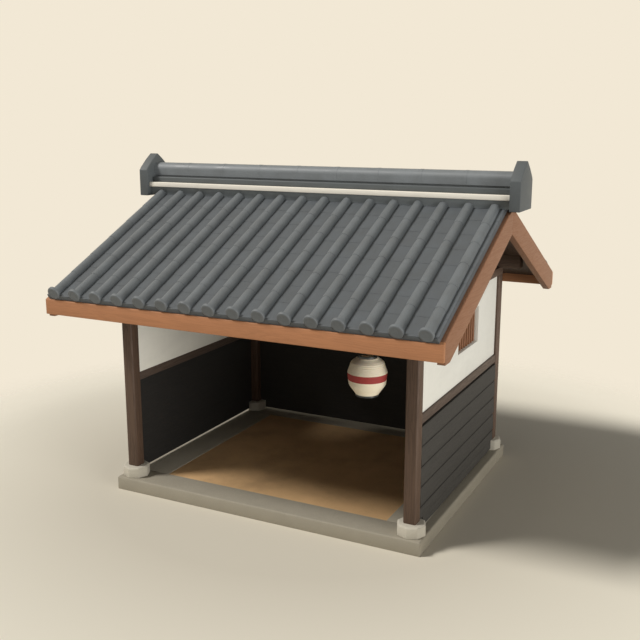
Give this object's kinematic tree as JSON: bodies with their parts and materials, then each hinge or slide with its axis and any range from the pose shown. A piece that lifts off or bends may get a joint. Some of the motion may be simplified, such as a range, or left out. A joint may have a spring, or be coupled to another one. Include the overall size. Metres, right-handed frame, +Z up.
{
  "type": "rickshaw shed",
  "caption": "Open-fronted gabled shed with posts on stones, plastered upper walls, boarded lower walls, a tiled roof with a raised ridge, and a hanging paper lantern.",
  "frame": {"origin": "on the ground, under the middle of the shed", "axes": "+X to the right along the ridge as seen from the open front, +Y from the open front to the back wall, +Z up"},
  "size_m": [4.19, 3.73, 3.3558],
  "materials": {
    "kerb_stone": "sawn, weathered",
    "footing_stone": "dressed",
    "earth": "tamped",
    "dark_timber": "oiled, dark",
    "rail_timber": "oiled, dark",
    "cedar": "oiled",
    "charred_boards": "charred, matt",
    "wall_plaster": "trowelled lime plaster",
    "ridge_plaster": "trowelled lime plaster",
    "roof_tile": "smoked grey clay",
    "iron": "forged, black",
    "lantern_hoop": "black lacquer",
    "lantern_paper": "oiled paper"
  },
  "bodies": {
    "shed": {"kerb_front": "kerb_stone", "kerb_back": "kerb_stone", "kerb_left": "kerb_stone", "kerb_right": "kerb_stone", "earth_floor": "earth", "footing_stones": "footing_stone", "post_front_left": "dark_timber", "post_front_right": "dark_timber", "post_back_left": "dark_timber", "post_back_right": "dark_timber", "tie_beam_left": "dark_timber", "tie_beam_right": "dark_timber", "wall_beam_front": "dark_timber", "wall_beam_back": "dark_timber", "king_posts": "dark_timber", "ridge_beam": "dark_timber", "plaster_wall_left": "wall_plaster", "plaster_wall_right": "wall_plaster", "plaster_wall_back": "wall_plaster", "mid_rail_left": "rail_timber", "mid_rail_right": "rail_timber", "mid_rail_back": "rail_timber", "board_panel_left": "charred_boards", "board_panel_right": "charred_boards", "board_panel_back": "charred_boards", "roof_deck_front": "dark_timber", "roof_deck_back": "dark_timber", "bargeboard_front_left": "cedar", "bargeboard_front_right": "cedar", "bargeboard_back_left": "cedar", "bargeboard_back_right": "cedar", "fascia_front": "cedar", "fascia_back": "cedar", "tile_bed_front": "roof_tile", "tile_bed_back": "roof_tile", "ridge_base": "roof_tile", "ridge_plaster_band": "ridge_plaster", "ridge_upper_course": "roof_tile", "ridge_cap": "roof_tile", "ridge_end_plate_left": "roof_tile", "ridge_end_plate_right": "roof_tile", "lantern_hook": "iron"},
    "lantern": {"lantern_bail": "lantern_hoop", "lantern_paper": "lantern_paper", "lantern_foot": "lantern_hoop"}
  },
  "joints": [
    {"name": "lantern_swing", "type": "hinge", "parent": "shed", "child": "lantern", "pos_m": [1.073, -1.206, 1.9673], "axis": [1, 0, 0], "range_deg": [-30, 30]}
  ]
}
